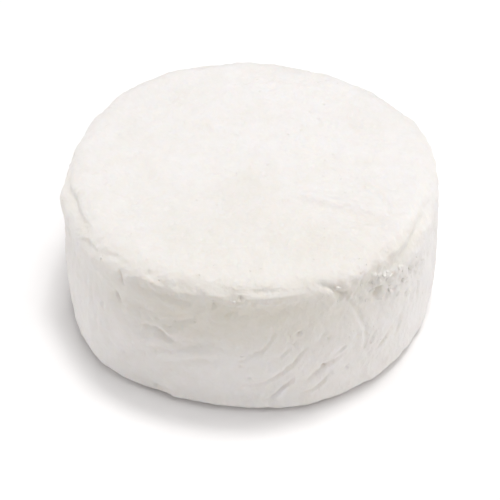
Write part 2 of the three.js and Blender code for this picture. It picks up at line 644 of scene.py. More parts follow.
# Creases of the wrapping cloth, first on the front, then on the top, the right, the back and the left.
CREASES = (
    Mark(((277, 32), (275, 28), (272, 25), (266, 21)), 0.6, 0.55, 0.3),
    Mark(((287, 26), (284, 22), (280, 17.5), (276, 14), (268, 10.5)), 0.8, 0.6, 0.3),
    Mark(((283, 14), (280, 10.5), (275.5, 5.5)), 0.95, 0.55, 0.25),
    Mark(((295, 13.5), (290, 9), (284, 6.5)), 0.8, 0.6, 0.25),
    Mark(((298, 18.5), (292, 16), (287, 11.5)), 0.8, 0.6, 0.25),
    Mark(((282, 26), (278, 22.5)), 0.5, 0.5, 0.2),
    Mark(((299, 22.5), (295, 19)), 0.45, 0.6, 0.3),
    Mark(((291.5, 46.5), (295, 43), (298, 39), (302, 33), (305, 26), (306, 14)), 0.85, 0.8, -0.25),
    Mark(((316, 19.5), (313, 17), (309.5, 14.5)), 0.6, 0.6, 0.2),
    Mark(((310, 23), (308, 20.5), (306.5, 17.5)), 0.45, 0.5, 0.2),
    Mark(((303, 11.5), (306, 14), (308, 17)), 0.45, 0.5, 0.3),
    Mark(((290, 26.8), (292, 28.5), (294.5, 30)), 0.4, 0.5, 0.3),
    Mark(((321, 22), (318, 13)), 0.55, 0.7, 0.3),
    Mark(((330, 28), (332, 17)), 0.6, 0.8, 0.3),
    Mark(((236, 28.5), (242, 29), (248, 26.5)), 0.6, 1.1, 0.9),
    Mark(((247, 29.5), (251, 33), (255, 35.5)), 0.45, 1.0, -0.6),
    Mark(((226, 12), (233, 17), (240, 21.5), (247, 25)), 0.6, 2.0, 0.9),
    Mark(((244, 17), (251, 20.5), (256, 22), (263, 22.5)), 0.5, 1.4, 0.9),
    Mark(((228.5, 43.5), (231, 40)), 0.9, 0.55, 0.2),
    Mark(((227.5, 36), (229.5, 31.5)), 0.9, 0.6, 0.3),
    Mark(((223, 31), (222, 25.5)), 0.5, 0.6, 0.3),
    Mark(((214, 25), (213.5, 14)), 0.45, 0.7, 0.5),
    Mark(((219, 23), (219, 14)), 0.45, 0.7, 0.5),
    Mark(((216, 31), (217, 24)), 0.45, 0.6, 0.5),
    Mark(((206, 40), (211, 42.5), (217, 43.5)), 0.7, 0.9, 0.4),
    Mark(((198, 42), (197, 36), (198, 28)), 0.45, 1.1, -0.5),
    Mark(((191, 36), (190, 24)), 0.6, 1.0, 0.5),
    Mark(((-21, 22), (-11, 17), (0, 14)), 0.5, 1.7, 0.9, Where.TOP),
    Mark(((10, -14), (25, -19), (42, -26)), 0.8, 1.7, 0.9, Where.TOP),
    Mark(((22, -24), (31, -27), (40, -27)), 0.5, 1.4, -0.8, Where.TOP),
    Mark(((33, -3.5), (34.5, -9.5), (37.2, -12.5), (39.5, -19), (40.5, -23)), 0.7, 1.0, 0.6, Where.TOP),
    Mark(((23, 4.7), (33, 3.5), (42, 3.5)), 0.4, 1.5, 0.5, Where.TOP),
    Mark(((-34, 6), (-28, -3), (-27, -10)), 0.3, 1.7, 0.8, Where.TOP),
    Mark(((-10, -36), (0, -39), (12, -38)), 0.28, 1.7, 0.8, Where.TOP),
    Mark(((-12, 34), (2, 31), (12, 33)), 0.3, 1.6, 0.7, Where.TOP),
    Mark(((18, 27), (27, 22), (33, 14)), 0.3, 1.6, -0.7, Where.TOP),
    Mark(((20, 31), (28, 24), (29, 12)), 0.7, 0.7, 0.3),
    Mark(((48, 12), (43, 21), (36, 27)), 0.6, 0.8, 0.4),
    Mark(((70, 8), (76, 19), (78, 33)), 0.6, 1.3, 0.8),
    Mark(((84, 30), (93, 26), (104, 27)), 0.5, 1.3, 0.9),
    Mark(((112, 37), (110, 28), (114, 20)), 0.6, 0.8, -0.3),
    Mark(((121, 10), (128, 16), (138, 19)), 0.55, 1.5, 0.8),
    Mark(((146, 33), (143, 24), (145, 14)), 0.6, 0.8, 0.4),
    Mark(((160, 30), (167, 26), (176, 27)), 0.55, 1.2, 0.8),
    Mark(((352, 14), (346, 19), (344, 27)), 0.6, 0.9, 0.4),
)

# The uneven and folded rim, and the swelling along the foot at the front.
RIM_MARKS = (
    Mark(((219, 43.5), (224, 45.5), (231, 46)), 0.5, 0.8),
    Mark(((236, 45), (239, 44.8), (243, 43.4)), -0.95, 0.85),
    Mark(((232, 41.8), (238, 41.6), (243, 41.4), (249, 41), (257, 39.2)), 0.6, 1.5),
    Mark(((244.5, 44), (249, 43.8), (255, 44.8)), -0.45, 0.9),
    Mark(((256.5, 45.6), (259, 45.2), (263, 43.8)), -0.8, 1.2),
    Mark(((267, 44.7), (275, 44.8), (285, 44.6)), -0.55, 1.0),
    Mark(((264, 46.9), (273, 46.8), (282, 46.3)), 0.4, 0.75),
    Mark(((256, 39.6), (266, 39.6), (280, 40), (292, 41)), 0.7, 2.6),
    Mark(((296, 45.4), (300, 46.4), (304, 46)), -0.5, 1.1),
    Mark(((215, 3.4), (240, 2.4), (265, 2.6), (290, 2.4), (312, 3.4)), -0.95, 1.9),
    Mark(((10, 45), (20, 46.5), (30, 45.6)), -0.6, 1.2),
    Mark(((60, 46), (70, 45), (80, 46.4)), 0.5, 1.1),
    Mark(((96, 44), (104, 45.4), (112, 44.4)), -0.6, 1.3),
    Mark(((132, 45), (140, 44), (148, 45.6)), 0.55, 1.2),
    Mark(((174, 44.5), (188, 45), (202, 45), (215, 44.2)), 1.1, 2.4),
    Mark(((304, 42.5), (314, 43), (325, 43.6), (337, 44.6), (352, 45)), 1.8, 3.0),
)

# Small pits: turn in degrees, height, depth and half width in mm.
PITS = (
    (238, 46, 0.6, 1.3), (267.5, 44.6, 0.9, 0.7), (259, 41.2, 0.5, 1.3), (270.5, 42.6, 0.7, 0.8),
    (301, 43.2, 0.7, 1.0), (304.5, 42.6, 0.6, 0.8), (308, 39.7, 0.7, 1.0), (311.5, 36.5, 0.8, 1.3),
    (317, 33.6, 0.4, 0.9), (325, 34.8, 0.7, 0.8), (329.5, 33.5, 0.9, 0.9), (323, 28, 0.6, 0.8),
    (292, 16.4, 0.8, 0.8), (293, 26.5, 0.7, 0.6), (284, 30.5, 0.7, 0.6), (269, 14.3, 0.6, 0.6),
    (267, 19.5, 0.6, 0.6), (299.5, 12.6, 0.6, 0.6), (241, 4.2, 0.5, 1.1), (250, 3.4, 0.5, 1.0),
    (276, 4.2, 0.4, 1.2), (153, 45.5, 0.5, 1.4), (163, 45.2, 0.5, 1.2),
)

DENTS = (
    Mark(((291, 46.4), (295.5, 42.6), (300, 38.8)), 1.0, 0.8),
    Mark(((45.5, -22), (43.2, -28.5), (40.5, -33.5), (37.5, -37), (34, -40)), -0.9, 1.2, 0.5, Where.TOP),
    *(Mark(((turn, height_mm),), depth_mm, width_mm) for turn, height_mm, depth_mm, width_mm in PITS),
)

MARK_SETS = {"Creases": CREASES, "Rim marks": RIM_MARKS, "Dents": DENTS}


@dataclass(frozen=True)
class Tear:
    """The torn patch, which has a ragged edge, a curled lip and a rough floor.

    Attributes:
        patch: where the rind is torn away.
        lifted: the larger patch in which its edge curls up.
        deep_mm: how deep it is torn.
        ragged: how far the bays in its edge go.
        edge: where it starts and where it is whole, in the patch's share.
        lip: height of the lip, and all below, as a share of the depth.
        floor: height of the floor between its ridges.
        ridges: how deep the floor goes between them.
        gravel: height of the small lumps on the floor.
    """

    patch: Spot = Spot(turn=313, height_mm=37.2, round_by=21, up_mm=5.4, lean_mm=-0.15)
    lifted: Spot = Spot(turn=313, height_mm=37.2, round_by=29.4, up_mm=9.18, lean_mm=-0.15)
    deep_mm: float = 0.75
    ragged: float = 0.6
    edge: tuple[float, float] = (0.32, 0.62)
    lip: float = 0.3
    floor: float = 0.75
    ridges: float = 3.2
    gravel: float = 0.9

    def rise(self, tree: GeometryTree, turn: Field, level: Field) -> tuple[Field, Field]:
        """What the tear does to the surface.

        Args:
            tree: the tree to build in.
            turn: a place's turn.
            level: its height.

        Returns:
            The rise of the surface, and how far the place is inside the patch, from 0 to 1.
        """
        at = tree.position()
        bays = tree.noise(at, size_mm=4.5, seed=24.0, detail=2.0)
        reach = self.patch.share(tree, turn, level) + bays * self.ragged
        inside = tree.step(reach, *self.edge)
        lip_at, lip_reach = 0.34, 0.12
        lip = tree.bell(reach - lip_at, lip_reach) * self.lifted.share(tree, turn, level)
        ridges = tree.math("ABSOLUTE", tree.noise(at, size_mm=4.2, seed=29.0, detail=2.0))
        gravel = tree.noise(at, size_mm=1.9, seed=30.0)
        floor = self.floor - ridges * self.ridges + gravel * self.gravel
        return (inside * floor + lip * self.lip) * (self.deep_mm * MM), inside


@dataclass(frozen=True)
class Undercut:
    """The part of the foot that does not touch the table.

    Attributes:
        spot: where it is.
        deep_mm: how deep the gap under it is.
        usual: the gap's usual depth, as a share of that.
        waves: how far waves change the share.
        inner_mm: where the gap ends under the base, and where it has its full depth, from the wheel's axis.
    """

    spot: Spot = Spot(turn=258, height_mm=0, round_by=58, up_mm=1.8)
    deep_mm: float = 5.0
    usual: float = 0.9
    waves: float = 0.7
    inner_mm: tuple[float, float] = (30, 50)

    def place(self, tree: GeometryTree) -> Field:
        """Places drawn in under the raised part of the foot and kept above the table."""
        at = tree.position()
        x, y, level = tree.parts(at)
        level = tree.math("MAXIMUM", level, 0.0)
        turn, radius, _ = tree.polar()
        waves = tree.noise(at, size_mm=14.0, seed=23.0) * self.waves
        inside = tree.step(radius, *(reach * MM for reach in self.inner_mm))
        gap = self.spot.share(tree, turn, level) * (waves + self.usual) * inside
        share = 1.0 - gap * (self.deep_mm * MM) / radius
        return tree.joined(x * share, y * share, level)


@dataclass
class Rind:
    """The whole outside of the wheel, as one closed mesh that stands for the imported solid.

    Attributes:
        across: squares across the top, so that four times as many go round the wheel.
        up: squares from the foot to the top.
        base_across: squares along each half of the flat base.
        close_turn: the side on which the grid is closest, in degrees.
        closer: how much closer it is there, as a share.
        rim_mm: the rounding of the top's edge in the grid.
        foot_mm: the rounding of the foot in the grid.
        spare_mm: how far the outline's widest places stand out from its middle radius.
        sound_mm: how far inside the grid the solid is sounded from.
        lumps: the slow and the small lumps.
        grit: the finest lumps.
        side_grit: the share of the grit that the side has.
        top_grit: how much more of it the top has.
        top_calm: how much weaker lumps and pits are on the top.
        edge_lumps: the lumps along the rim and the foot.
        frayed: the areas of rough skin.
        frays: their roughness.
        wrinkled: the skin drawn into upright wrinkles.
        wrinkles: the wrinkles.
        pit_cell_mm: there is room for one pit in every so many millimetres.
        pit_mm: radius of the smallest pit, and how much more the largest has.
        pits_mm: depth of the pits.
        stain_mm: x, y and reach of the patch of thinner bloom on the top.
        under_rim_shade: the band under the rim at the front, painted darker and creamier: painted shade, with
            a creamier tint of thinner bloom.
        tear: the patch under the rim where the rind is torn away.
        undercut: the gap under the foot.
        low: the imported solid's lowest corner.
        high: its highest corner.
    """

    across: int = 164
    up: int = 98
    base_across: int = 22
    close_turn: float = 278.0
    closer: float = 0.25
    rim_mm: float = 6.5
    foot_mm: float = 2.0
    spare_mm: float = 1.0
    sound_mm: float = 4.0
    lumps: tuple[Layer, ...] = (Layer(9.0, 0.8, seed=20.0), Layer(3.4, 0.5, seed=21.0, detail=2.0))
    grit: Layer = Layer(1.5, 0.21, seed=28.0)
    side_grit: float = 0.85
    top_grit: float = 0.75
    top_calm: float = 0.15
    edge_lumps: Layer = Layer(6.0, 0.6, seed=22.0, detail=2.0)
    frayed: tuple[Spot, ...] = (
        Spot(turn=326, height_mm=25, round_by=17, up_mm=14),
        Spot(turn=352, height_mm=36, round_by=14, up_mm=11),
        Spot(turn=355, height_mm=43, round_by=10, up_mm=4),
        Spot(turn=170, height_mm=41, round_by=25, up_mm=6),
    )
    frays: Layer = Layer(2.6, 0.68, seed=25.0, detail=2.0, rough=0.6)
    wrinkled: Spot = Spot(turn=216, height_mm=26, round_by=8, up_mm=10)
    wrinkles: Layer = Layer(1.8, 0.4, seed=26.0)
    pit_cell_mm: float = 5.0
    pit_mm: tuple[float, float] = (0.5, 0.6)
    pits_mm: float = 0.36
    stain_mm: tuple[float, float, float] = (24, -36, 17)
    # Painted shade: the band under the front rim and down the front side is darkened towards curd colour.
    under_rim_shade: Spot = Spot(turn=262, height_mm=36.5, round_by=42, up_mm=11)
    tear: Tear = Tear()
    undercut: Undercut = Undercut()
    low: Vector = field(default_factory=lambda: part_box(WHEEL_NODE)[0])
    high: Vector = field(default_factory=lambda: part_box(WHEEL_NODE)[1])

    @property
    def radius(self) -> float:
        """The wheel's middle radius."""
        return (self.high.x - self.low.x + self.high.y - self.low.y) / 4 - self.spare_mm * MM

    @property
    def height(self) -> float:
        """The wheel's height."""
        return self.high.z - self.low.z

    def on_face(self, where: Where, point: tuple[float, float]) -> Vector:
        """A mark's point as a place on the wheel's nominal surface."""
        if where is Where.TOP:
            return Vector((point[0] * MM, point[1] * MM, self.height))
        return on_side(self.radius, *point)

    def mark_lines(self, name: str, marks: Sequence[Mark]) -> bpy.types.Object:
        """Makes strings of points that carry their marks' depth, width, fold and the way across.

        Args:
            name: the object's name.
            marks: the marks, each well clear of its neighbours in this set.

        Returns:
            The object that holds the strings.
        """
        places, edges, across = [], [], []
        carried = {"depth": [], "width": [], "fold": []}
        for mark in marks:
            line = [self.on_face(mark.where, point) for point in mark.points]
            if len(line) == 1:
                line.append(line[0] + Vector((0, 0, SPOT_LENGTH_MM * MM)))
            else:
                line = smooth_line(line, LINE_STEP_MM * MM)
            last = len(line) - 1
            for index, place in enumerate(line):
                if index:
                    edges.append((len(places) - 1, len(places)))
                places.append(place)
                carried["depth"].append(mark.depth_at(index / last))
                carried["width"].append(mark.width_mm * MM)
                carried["fold"].append(mark.fold)
                along = line[min(index + 1, last)] - line[max(index - 1, 0)]
                out = Vector((0, 0, 1)) if mark.where is Where.TOP else Vector((place.x, place.y, 0))
                across.extend(out.cross(along).normalized())
        mesh = bpy.data.meshes.new(name)
        mesh.from_pydata(places, edges, [])
        for label, values in carried.items():
            mesh.attributes.new(label, "FLOAT", "POINT").data.foreach_set("value", values)
        mesh.attributes.new("across", "FLOAT_VECTOR", "POINT").data.foreach_set("vector", across)
        return new_object(name, mesh)

    def turned_grid(self, tree: GeometryTree, u: Field, v: Field) -> tuple[Field, Field]:
        """Turns the squares of a box into rings, closest together on the side that is looked at most.

        Args:
            tree: the tree to build in.
            u: a point's place across the box, from -1 to 1.
            v: its place along it.

        Returns:
            The point's ring, from 0 in the middle to 1, and the way out to it.
        """
        ring = tree.math("MAXIMUM", tree.math("ABSOLUTE", u), tree.math("ABSOLUTE", v))
        sines = [tree.math("TANGENT", part / ring * (QUARTER_TURN / 2)) for part in (v, u)]
        even = tree.math("ARCTAN2", *sines)
        turn = even - tree.math("SINE", even - self.close_turn * DEGREE) * self.closer
        return ring, tree.joined(tree.math("COSINE", turn), tree.math("SINE", turn), 0.0)

    def coarse_base(self, tree: GeometryTree, u: Field, v: Field, w: Field) -> tuple[Field, Field]:
        """The places u across and v along the box, snapped to a coarser lattice inside the flat base."""
        coarse = tree.asks("Base squares across", "Float", float(self.base_across))
        ring = tree.math("MAXIMUM", tree.math("ABSOLUTE", u), tree.math("ABSOLUTE", v))
        below = tree.math("LESS_THAN", w, -0.999)
        inside = below * tree.math("GREATER_THAN", (1.0 - ring) * coarse, 1.5)
        return tuple(part + (tree.math("ROUND", part * coarse) / coarse - part) * inside for part in (u, v))

    def laid_out(self, tree: GeometryTree) -> tuple[Field, Field, Field]:
        """Lays the grid of a box round a wheel of the nominal profile.

        Args:
            tree: the tree to build in.

        Returns:
            The grid, and the nominal place and outward way of each of its points.
        """
        across = tree.asks("Squares across", "Int", self.across) + 1
        up = tree.asks("Squares up", "Int", self.up) + 1
        radius = tree.asks("Radius", "Float", self.radius)
        height = tree.asks("Height", "Float", self.height)
        rim = tree.asks("Rim rounding", "Float", self.rim_mm * MM)
        foot = tree.asks("Foot rounding", "Float", self.foot_mm * MM)
        squares = {"Vertices X": across, "Vertices Y": across, "Vertices Z": up}
        box = tree.result("GeometryNodeMeshCube", {"Size": (2, 2, 2), **squares}, "Mesh")
        u, v, w = tree.parts(tree.position())
        ring, way = self.turned_grid(tree, *self.coarse_base(tree, u, v, w))

        foot_length, rim_length = foot * QUARTER_TURN, rim * QUARTER_TURN
        wall = height - rim - foot
        along = (w * 0.5 + 0.5) * (foot_length + wall + rim_length)
        foot_turn = tree.clamped(along / foot - QUARTER_TURN, -QUARTER_TURN, 0.0)
        rim_turn = tree.clamped((along - foot_length - wall) / rim, 0.0, QUARTER_TURN)
        on_wall = tree.clamped(along - foot_length, 0.0, wall)
        foot_cos, foot_sin = tree.math("COSINE", foot_turn), tree.math("SINE", foot_turn)
        rim_cos, rim_sin = tree.math("COSINE", rim_turn), tree.math("SINE", rim_turn)
        reach = ring * (radius - foot * (1.0 - foot_cos) - rim * (1.0 - rim_cos))
        level = foot + foot * foot_sin + on_wall + rim * rim_sin
        place = way * reach + tree.joined(0.0, 0.0, level)
        outward = way * (foot_cos * rim_cos) + tree.joined(0.0, 0.0, foot_sin + rim_sin)
        return box, place, outward

    def fitted(self, tree: GeometryTree) -> Field:
        """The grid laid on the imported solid's surface, with the outward way stored on it."""
        grid, place, outward = self.laid_out(tree)
        grid = tree.moved(tree.store(grid, "outward", outward, "FLOAT_VECTOR"), position=place)
        grid = tree.result("GeometryNodeMergeByDistance", {"Geometry": grid, "Distance": 0.01 * MM})
        outward = tree.stored("outward", "FLOAT_VECTOR")
        start = self.sound_mm * MM
        sounded = tree.node(
            "GeometryNodeRaycast",
            {
                "Target Geometry": tree.mesh_of("Solid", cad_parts[WHEEL_NODE]),
                "Source Position": tree.position() - outward * start,
                "Ray Direction": outward,
                "Ray Length": 3 * start,
            },
        )
        gap = (tree.out(sounded, "Hit Distance") - start) * tree.out(sounded, "Is Hit")
        grid = tree.store(grid, "gap", gap)
        even = {"Value": tree.stored("gap"), "Iterations": 6}
        level = tree.result("GeometryNodeBlurAttribute", even, data_type="FLOAT")
        return tree.moved(grid, offset=outward * level)

    def marked(
        self, tree: GeometryTree, at: Field, outward: Field, name: str, marks: Sequence[Mark]
    ) -> Field:
        """The rise of the surface that one set of marks gives.

        Args:
            tree: the tree to build in.
            at: the place on the surface.
            outward: the way out of it.
            name: the set's name.
            marks: its marks.

        Returns:
            The rise.
        """
        lines = {"Geometry": tree.mesh_of(name, self.mark_lines(name, marks))}
        index = tree.result("GeometryNodeSampleNearest", {**lines, "Sample Position": at})

        def carried(label: str, kind: str = "FLOAT") -> Field:
            """A value of the nearest point of the lines."""
            inputs = {**lines, "Value": tree.stored(label, kind), "Index": index}
            return tree.result("GeometryNodeSampleIndex", inputs, data_type=kind, domain="POINT")

        near = {**lines, "Sample Position": at}
        away = at - tree.result("GeometryNodeProximity", near, "Position", target_element="EDGES")
        away = away - outward * tree.vector("DOT_PRODUCT", away, outward, output="Value")
        width, fold = carried("width"), carried("fold")
        across = carried("across", "FLOAT_VECTOR")
        share = tree.vector("LENGTH", away, output="Value") / width
        side = tree.vector("DOT_PRODUCT", away, across, output="Value") / width
        furrow = tree.bell(share, 1.0)
        lips = side * tree.math("EXPONENT", 0.5 - share * share * 0.5)
        plain = 1.0 - tree.math("ABSOLUTE", fold)
        return carried("depth") * (lips * fold - furrow * plain)

    def lumpy(self, tree: GeometryTree, on_top: Field) -> Field:
        """The rise that lumps, pits and grit give, where the top is calmer than the side."""
        at = tree.position()
        slow, small = (layer.rise(tree, at) for layer in self.lumps)
        distance, chance = tree.cells(at, self.pit_cell_mm, seed=27.0)
        pick, size, _ = tree.parts(chance)
        least, more = (radius * MM for radius in self.pit_mm)
        pits = tree.step(pick, low=0.72, high=0.74) * tree.bell(distance, size * more + least)
        calm = 1.0 - on_top * self.top_calm
        grit = self.grit.rise(tree, at) * (on_top * self.top_grit + self.side_grit)
        return (slow + small - pits * (self.pits_mm * MM)) * calm + grit

    def edges(self, tree: GeometryTree, radius: Field, level: Field) -> tuple[Field, Field]:
        """The rise along the rim and the foot, and how near the rim a place is, from 0 to 1."""
        rim_level, rim_reach = self.height - 4.0 * MM, 3.5 * MM
        foot_level, foot_reach = 1.0 * MM, 2.5 * MM
        outer = tree.step(radius, low=self.radius - 8.0 * MM, high=self.radius - 4.0 * MM)
        rim = tree.bell(level - rim_level, rim_reach) * outer
        foot = tree.bell(level - foot_level, foot_reach)
        return (rim + foot) * self.edge_lumps.rise(tree, tree.position()), rim

    def rough(self, tree: GeometryTree, turn: Field, level: Field) -> Field:
        """The rise of the rough and the wrinkled skin."""
        frays = most_of(self.frayed, tree, turn, level) * self.frays.rise(tree, tree.position())
        squeezed = 0.12
        stretched = tree.joined(turn * self.radius, level * squeezed, 0.0)
        return frays + self.wrinkled.share(tree, turn, level) * self.wrinkles.rise(tree, stretched)

    def stained(self, tree: GeometryTree) -> Field:
        """How far a place is inside the patch of thinner bloom on the top, from 0 to 1."""
        middle_x, middle_y, reach = (length * MM for length in self.stain_mm)
        x, y, _ = tree.parts(tree.position())
        x, y = x - middle_x, y - middle_y
        return tree.bell(tree.math("SQRT", x * x + y * y), reach)

    def relief(self, tree: GeometryTree) -> tuple[Field, Field]:
        """What the mould, the cloth and handling did to the smooth surface.

        Args:
            tree: the tree to build in.

        Returns:
            The rise of the surface, and how far the curd colour shows: where the bloom lies thinner, and as
            painted shade in hollows and under the front rim.
        """
        at = tree.position()
        turn, radius, level = tree.polar()
        outward = tree.stored("outward", "FLOAT_VECTOR")
        _, _, facing = tree.parts(outward)
        edges, rim = self.edges(tree, radius, level)
        tear, torn = self.tear.rise(tree, turn, level)
        on_top = tree.step(facing, low=0.5, high=0.98)
        off_base = tree.step(facing, low=-0.95, high=-0.2)
        rise = self.lumpy(tree, on_top) + edges + tear + self.rough(tree, turn, level)
        stray = 0.9 * MM
        strayed = at + tree.noises(at, size_mm=3.0, seed=11.0) * stray
        for name, marks in MARK_SETS.items():
            rise = rise + self.marked(tree, strayed, outward, name, marks)
        # Hollows are darkened towards curd colour by their depth: painted shade in creases, pits and the
        # tear.
        hollow_shade_depth = 1.2 * MM
        # Shares of curd colour: rim wear, the torn patch and the top's stain are thinner bloom; the hollows
        # and the band under the front rim are painted shade.
        thin_and_shaded_places = (
            (0.05, rim),
            (0.05, torn),
            (0.25, tree.clamped(-rise / hollow_shade_depth)),
            (0.22, self.stained(tree)),
            # The band under the front rim: painted shade.
            (0.7, self.under_rim_shade.share(tree, turn, level)),
        )
        thin_and_shade = reduce(lambda first, second: first + second, (place * share for share, place in thin_and_shaded_places))
        return rise * off_base, thin_and_shade

    def build(self, finish: bpy.types.Material) -> bpy.types.Object:
        """Makes the rind.

        Args:
            finish: its material.

        Returns:
            The piece.
        """
        tree = GeometryTree.named("rind")
        grid = self.fitted(tree)
        rise, thin_and_shade = self.relief(tree)
        grid = tree.store(grid, "rise", rise)
        grid = tree.store(grid, "thin_bloom", thin_and_shade)
        grid = tree.moved(grid, offset=tree.stored("outward", "FLOAT_VECTOR") * tree.stored("rise"))
        grid = tree.moved(grid, position=self.undercut.place(tree))
        piece = tree.grow("bloomy_rind", grid, finish)
        for name in MARK_SETS:
            bpy.data.objects.remove(bpy.data.objects[name])
        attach(piece, BODY)
        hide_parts(WHEEL_NODE)
        return piece


def on_side(radius: float, turn: float, height_mm: float) -> Vector:
    """A place on a round wall of this radius, at a turn in degrees and a height."""
    angle = turn * DEGREE
    return Vector((radius * math.cos(angle), radius * math.sin(angle), height_mm * MM))


def smooth_line(points: Sequence[Vector], spacing: float) -> list[Vector]:
    """Points at an even spacing on a smooth curve through these.

    Args:
        points: the places it goes through.
        spacing: the distance between its points.

    Returns:
        The points.
    """
    ends = [points[0] * 2 - points[1], *points, points[-1] * 2 - points[-2]]
    line = []
    for before, start, stop, after in zip(ends, ends[1:], ends[2:], ends[3:]):
        first = stop - before
        second = 2 * before - 5 * start + 4 * stop - after
        third = 3 * start - before - 3 * stop + after
        count = max(2, round((stop - start).length / spacing))
        for index in range(count):
            t = index / count
            line.append(0.5 * (2 * start + first * t + second * t**2 + third * t**3))
    return [*line, points[-1]]


# ---- Bits on the rind ----


@dataclass(frozen=True)
class Bit:
    """A bit that lies at a place of its own.

    Attributes:
        turn: its turn in degrees.
        height_mm: its height on the side.
        size_mm: how wide it is.
    """

    turn: float
    height_mm: float
    size_mm: float


@dataclass(frozen=True)
class Scatter:
    """Small bits of rind or curd that lie on the wheel, each a closed lump of a few dozen faces.

    Attributes:
        name: the piece's name.
        spots: the areas they gather in.
        per_cm2: how many lie on a square centimetre in the middle of those areas.
        everywhere_per_cm2: how many lie on a square centimetre anywhere else.
        smallest_mm: the smallest one's width.
        largest_mm: the largest one's width.
        flat: their thickness as a share of their width.
        curl: how far their edges lift, as a share of their width.
        sunk: how deep they sit, as a share of their width.
        seed: picks another scatter.
        placed: the ones that lie at places of their own.
        lean: how far they lean from upright.
        ragged: how far the bays in their edges go, as a share of their width.
    """

    name: str
    spots: tuple[Spot, ...]
    per_cm2: float
    everywhere_per_cm2: float
    smallest_mm: float
    largest_mm: float
    flat: float
    curl: float
    sunk: float
    seed: int
    placed: tuple[Bit, ...]
    lean: float = 0.5
    ragged: float = 0.35

    def places(self, radius: float) -> bpy.types.Object:
        """The bits with places of their own, as points that carry their size."""
        mesh = bpy.data.meshes.new(self.name + " places")
        mesh.from_pydata([on_side(radius, bit.turn, bit.height_mm) for bit in self.placed], [], [])
        sizes = [bit.size_mm * MM for bit in self.placed]
        mesh.attributes.new("size", "FLOAT", "POINT").data.foreach_set("value", sizes)
        return new_object(mesh.name, mesh)

    def strewn(self, tree: GeometryTree, surface: Field) -> Field:
        """Points strewn over the rind, thickest in the spots, that carry their size."""
        turn, radius, level = tree.polar()
        crowded = tree.asks("Per square metre in a spot", "Float", self.per_cm2 / CM**2)
        sparse = tree.asks("Per square metre elsewhere", "Float", self.everywhere_per_cm2 / CM**2)
        on_wall = tree.step(radius, low=44 * MM, high=50 * MM)
        above = tree.step(level, low=0.5 * MM, high=1.5 * MM)
        density = most_of(self.spots, tree, turn, level) * on_wall * crowded + above * sparse
        inputs = {"Mesh": surface, "Density": density, "Seed": tree.asks("Seed", "Int", self.seed)}
        spread = tree.node("GeometryNodeDistributePointsOnFaces", inputs, distribute_method="RANDOM")
        smallest = tree.asks("Smallest", "Float", self.smallest_mm * MM)
        largest = tree.asks("Largest", "Float", self.largest_mm * MM)
        chance = tree.chance(self.seed + 1, 0.0, 1.0)
        size = smallest + (largest - smallest) * chance * chance
        return tree.store(tree.out(spread, "Points"), "size", size)

    def laid(self, tree: GeometryTree, surface: Field, places: bpy.types.Object) -> Field:
        """All the bits' points, strewn and placed, with the rind's outward way stored on them."""
        strewn = self.strewn(tree, surface)
        own = tree.result("GeometryNodeMeshToPoints", {"Mesh": tree.mesh_of("Places", places)})
        near = tree.result("GeometryNodeProximity", {"Geometry": surface}, "Position", target_element="FACES")
        joined = tree.node("GeometryNodeJoinGeometry")
        for points in (tree.moved(own, position=near), strewn):
            tree.put(joined.inputs[0], points)
        inputs = {"Mesh": surface, "Value": tree.result("GeometryNodeInputNormal")}
        normal = tree.result("GeometryNodeSampleNearestSurface", inputs, data_type="FLOAT_VECTOR")
        return tree.store(tree.out(joined), "upright", normal, "FLOAT_VECTOR")

    def lump(self, tree: GeometryTree) -> Field:
        """One bit, a metre wide: a plate that is curled up along its edges."""
        ball = tree.result("GeometryNodeMeshIcoSphere", {"Radius": 0.5, "Subdivisions": 2}, "Mesh")
        u, v, w = tree.parts(tree.position())
        curled = (u * u + v * v * 0.3) * (4 * self.curl)
        return tree.moved(ball, position=tree.joined(u, v * 0.8, w * self.flat + curled))

    def stance(self, tree: GeometryTree, upright: Field) -> Field:
        """How a bit is turned: spun about the rind's outward way and leaning from it."""
        leaning = upright + tree.chance(self.seed + 2, (-self.lean,) * 3, (self.lean,) * 3)
        stand = tree.result("FunctionNodeAlignRotationToVector", {"Vector": leaning}, axis="Z")
        spin = {"Axis": (0, 0, 1), "Angle": tree.chance(self.seed + 3, 0.0, 2 * math.pi)}
        inputs = {"Rotation": stand, "Rotate By": tree.result("FunctionNodeAxisAngleToRotation", spin)}
        return tree.result("FunctionNodeRotateRotation", inputs, rotation_space="LOCAL")

    def build(self, rind: Rind, on: bpy.types.Object, finish: bpy.types.Material) -> bpy.types.Object:
        """Makes the bits.

        Args:
            rind: the sizes of the rind they lie on.
            on: the rind itself.
            finish: their material.

        Returns:
            The piece.
        """
        tree = GeometryTree.named(self.name)
        places = self.places(rind.radius)
        points = self.laid(tree, tree.mesh_of("Rind", on), places)
        size = tree.stored("size")
        upright = tree.stored("upright", "FLOAT_VECTOR")
        bits = tree.result(
            "GeometryNodeInstanceOnPoints",
            {
                "Points": tree.moved(points, offset=upright * size * -self.sunk),
                "Instance": self.lump(tree),
                "Rotation": self.stance(tree, upright),
                "Scale": tree.joined(size, size, size),
            },
        )
        real = tree.result("GeometryNodeRealizeInstances", {"Geometry": bits})
        bays = tree.noises(tree.position(), size_mm=0.9, seed=31.0) * size * self.ragged
        piece = tree.grow(self.name, tree.moved(real, offset=bays), finish)
        bpy.data.objects.remove(places)
        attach(piece, BODY)
        return piece


FLAKES = Scatter(
    name="rind_flakes",
    spots=(Spot(turn=314, height_mm=37, round_by=14, up_mm=4.2, lean_mm=-0.28),),
    per_cm2=26,
    everywhere_per_cm2=0.0,
    smallest_mm=1.2,
    largest_mm=3.4,
    flat=0.45,
    curl=0.16,
    sunk=0.24,
    seed=3,
    placed=(
        Bit(308, 37, 3.2), Bit(311, 32.5, 2.4), Bit(315, 38.5, 3.2), Bit(323, 31.5, 2.6), Bit(320, 39, 2.8),
    ),
)

